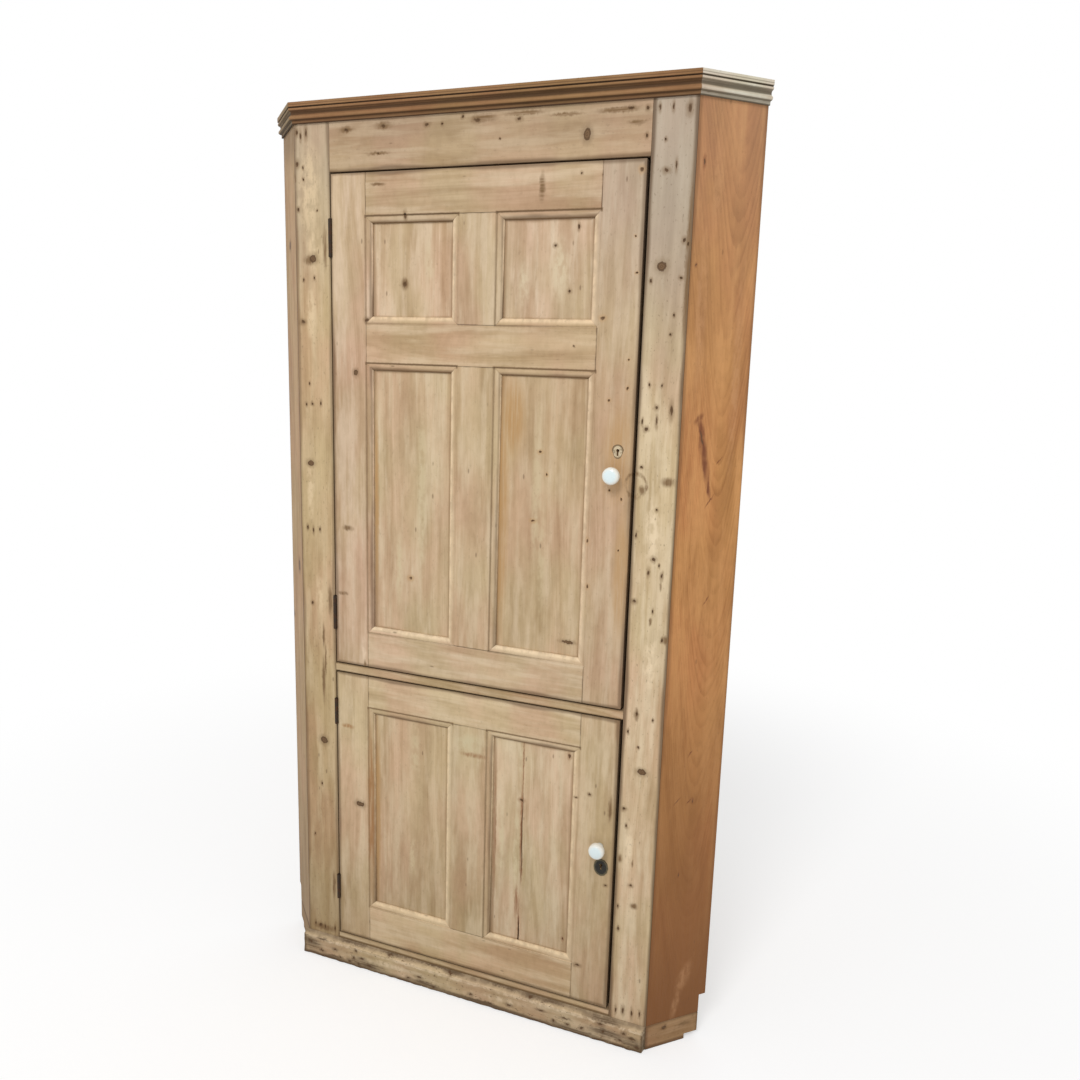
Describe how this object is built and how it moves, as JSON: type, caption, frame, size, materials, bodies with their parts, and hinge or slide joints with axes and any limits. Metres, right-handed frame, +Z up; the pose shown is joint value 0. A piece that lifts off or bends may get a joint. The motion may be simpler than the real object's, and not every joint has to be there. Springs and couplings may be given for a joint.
{
  "type": "corner cupboard",
  "caption": "Tall floor-standing corner cupboard with canted sides, panelled doors above and below, a moulded cornice and fixed shelves.",
  "frame": {"origin": "on the floor, under the middle of the cupboard's whole length and depth, cornice and knobs included", "axes": "+X to the right along the front as seen from the room, +Y back into the corner of the room, +Z up"},
  "size_m": [1.1278, 0.6736, 2.043],
  "materials": {
    "front_pine": "stripped pale pine, dry waxed",
    "side_pine": "amber waxed pine",
    "cornice_pine": "red-brown stained pine, worn",
    "inside_pine": "bare sawn and planed pine",
    "iron": "dark patinated iron",
    "brass": "dull aged brass",
    "ceramic": "white glaze"
  },
  "bodies": {
    "carcass": {"left_stile": "front_pine", "right_stile": "front_pine", "frieze_rail": "front_pine", "left_return_board": "side_pine", "right_return_board": "side_pine", "left_back_board_1": "inside_pine", "left_back_board_2": "inside_pine", "left_back_board_3": "inside_pine", "right_back_board_1": "inside_pine", "right_back_board_2": "inside_pine", "right_back_board_3": "inside_pine", "top_board": "inside_pine", "bottom_board": "front_pine", "middle_shelf": "front_pine", "upper_shelf_1": "inside_pine", "upper_shelf_2": "inside_pine", "cornice_front": "cornice_pine", "cornice_left_return": "cornice_pine", "cornice_right_return": "cornice_pine", "plinth_front": "front_pine", "plinth_left_return": "front_pine", "plinth_right_return": "front_pine", "upper_door_top_hinge_frame_leaf": "iron", "upper_door_top_hinge_pin": "iron", "upper_door_bottom_hinge_frame_leaf": "iron", "upper_door_bottom_hinge_pin": "iron", "lower_door_top_hinge_frame_leaf": "iron", "lower_door_top_hinge_pin": "iron", "lower_door_bottom_hinge_frame_leaf": "iron", "lower_door_bottom_hinge_pin": "iron"},
    "upper_door": {"upper_door_hinge_stile": "front_pine", "upper_door_lock_stile": "front_pine", "upper_door_bottom_rail": "front_pine", "upper_door_cross_rail": "front_pine", "upper_door_top_rail": "front_pine", "upper_door_lower_muntin": "front_pine", "upper_door_upper_muntin": "front_pine", "tall_left_panel": "front_pine", "tall_right_panel": "front_pine", "small_left_panel": "front_pine", "small_right_panel": "front_pine", "upper_door_top_hinge_door_leaf": "iron", "upper_door_bottom_hinge_door_leaf": "iron", "upper_escutcheon": "brass", "upper_knob": "ceramic", "upper_lock_case": "iron"},
    "lower_door": {"lower_door_hinge_stile": "front_pine", "lower_door_lock_stile": "front_pine", "lower_door_bottom_rail": "front_pine", "lower_door_top_rail": "front_pine", "lower_door_muntin": "front_pine", "lower_left_panel": "front_pine", "lower_right_panel": "front_pine", "lower_door_top_hinge_door_leaf": "iron", "lower_door_bottom_hinge_door_leaf": "iron", "lower_escutcheon": "iron", "lower_knob": "ceramic", "lower_lock_case": "iron"},
    "upper_bolt": {"upper_lock_bolt": "iron"},
    "lower_bolt": {"lower_lock_bolt": "iron"}
  },
  "joints": [
    {"name": "upper_door_swing", "type": "hinge", "parent": "carcass", "child": "upper_door", "pos_m": [-0.35555, -0.30527, 1.3442], "axis": [0, 0, -1], "range_deg": [0, 145]},
    {"name": "lower_door_swing", "type": "hinge", "parent": "carcass", "child": "lower_door", "pos_m": [-0.35555, -0.30527, 0.4224], "axis": [0, 0, -1], "range_deg": [0, 145]},
    {"name": "upper_bolt_throw", "type": "slide", "parent": "upper_door", "child": "upper_bolt", "axis": [1, 0, 0], "range_m": [0, 0.014]},
    {"name": "lower_bolt_throw", "type": "slide", "parent": "lower_door", "child": "lower_bolt", "axis": [1, 0, 0], "range_m": [0, 0.014]}
  ]
}
